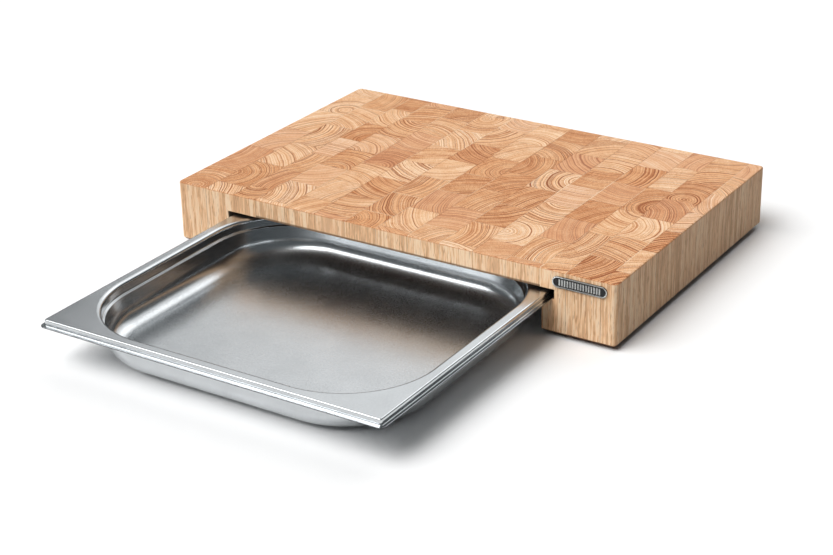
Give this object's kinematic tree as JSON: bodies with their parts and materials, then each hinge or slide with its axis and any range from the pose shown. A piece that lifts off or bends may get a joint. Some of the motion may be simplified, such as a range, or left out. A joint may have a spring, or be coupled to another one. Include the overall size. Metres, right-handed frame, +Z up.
{
  "type": "chopping block with sliding tray",
  "caption": "End-grain wooden chopping block on low feet, milled from below with side grooves in which a shallow flanged steel food tray slides out at the front.",
  "frame": {"origin": "on the ground, under the middle of the whole object with the tray pulled out as at rest", "axes": "+X to the right along the block's front, +Y from the tray towards the block's back, +Z up"},
  "size_m": [0.48, 0.59, 0.065],
  "materials": {
    "end_grain_wood": "oiled end grain, satin",
    "tray_steel": "satin drawn sheet",
    "plate_metal": "cast and polished, dark in the recesses",
    "foot_rubber": "moulded, matt",
    "screw_steel": "plated"
  },
  "bodies": {
    "board": {"stave_row_01": "end_grain_wood", "stave_row_02": "end_grain_wood", "stave_row_03": "end_grain_wood", "stave_row_04": "end_grain_wood", "stave_row_05": "end_grain_wood", "stave_row_06": "end_grain_wood", "stave_row_07": "end_grain_wood", "stave_row_08": "end_grain_wood", "stave_row_09": "end_grain_wood", "stave_row_10": "end_grain_wood", "stave_row_11": "end_grain_wood", "stave_row_12": "end_grain_wood", "stave_row_13": "end_grain_wood", "stave_row_14": "end_grain_wood", "stave_row_15": "end_grain_wood", "name_plate": "plate_metal", "foot_front_left": "foot_rubber", "foot_front_right": "foot_rubber", "foot_back_left": "foot_rubber", "foot_back_right": "foot_rubber", "foot_screws": "screw_steel"},
    "tray": {"tray": "tray_steel"}
  },
  "joints": [
    {"name": "tray_slide", "type": "slide", "parent": "board", "child": "tray", "axis": [0, -1, 0], "range_m": [-0.265, 0.054]}
  ]
}
